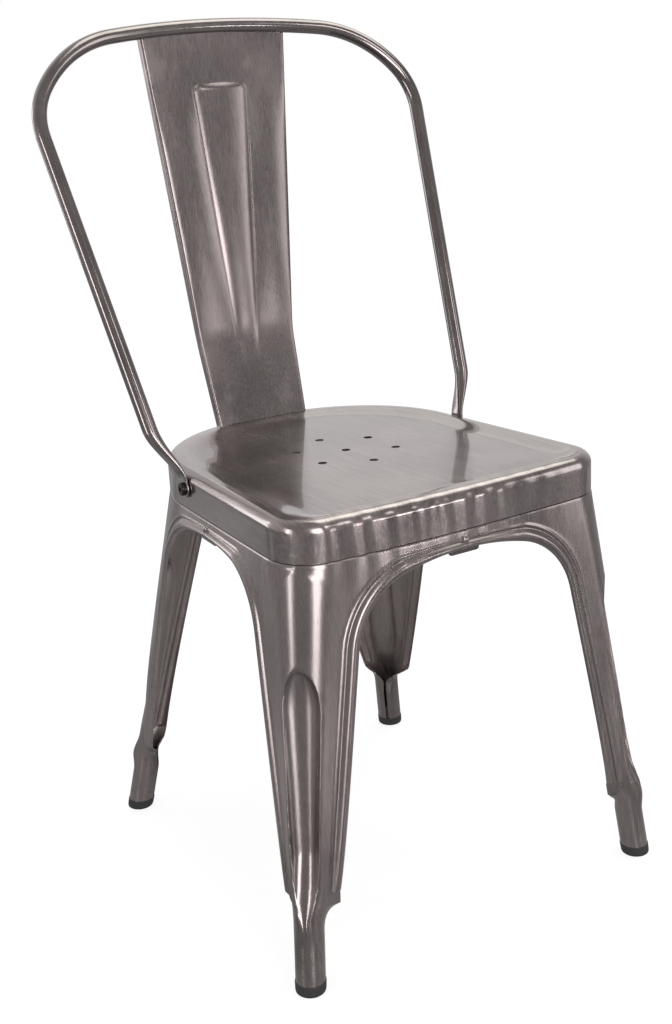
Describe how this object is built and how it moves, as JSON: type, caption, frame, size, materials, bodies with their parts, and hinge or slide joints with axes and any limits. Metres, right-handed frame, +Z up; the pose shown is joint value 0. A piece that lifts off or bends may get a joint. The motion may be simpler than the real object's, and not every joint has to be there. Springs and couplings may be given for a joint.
{
  "type": "stacking metal chair",
  "caption": "Stacking metal side chair: pressed seat pan with drain holes on flared sheet-steel legs, bent tube back hoop and a tapered sheet splat.",
  "frame": {"origin": "on the floor, under the middle of the chair's overall width and depth", "axes": "+X to the right seen from the front, -Y towards the front edge of the seat, +Z up"},
  "size_m": [0.4538, 0.4538, 0.8497],
  "materials": {
    "steel": "brushed bare steel under clear lacquer, dark warm grey, soft gloss",
    "inner_steel": "plain bare steel under the same lacquer",
    "fastener": "dark oxide steel screws, washers, nuts and rivet",
    "rubber": "black matt rubber"
  },
  "bodies": {
    "root": {"leg_front_left": "steel", "leg_front_right": "steel", "leg_rear_left": "steel", "leg_rear_right": "steel", "foot_cap_front_left": "rubber", "foot_cap_front_right": "rubber", "foot_cap_rear_left": "rubber", "foot_cap_rear_right": "rubber", "seat_pan": "steel", "back_hoop": "steel", "back_splat": "steel", "hoop_bolt_left": "fastener", "hoop_washer_left": "fastener", "hoop_nut_left": "fastener", "hoop_bolt_right": "fastener", "hoop_washer_right": "fastener", "hoop_nut_right": "fastener", "brace_bar_upper": "inner_steel", "brace_bar_lower": "inner_steel", "brace_rivet": "fastener", "joint_plate_front": "inner_steel", "joint_plate_rear": "inner_steel", "joint_plate_left": "inner_steel", "joint_plate_right": "inner_steel"}
  },
  "joints": []
}
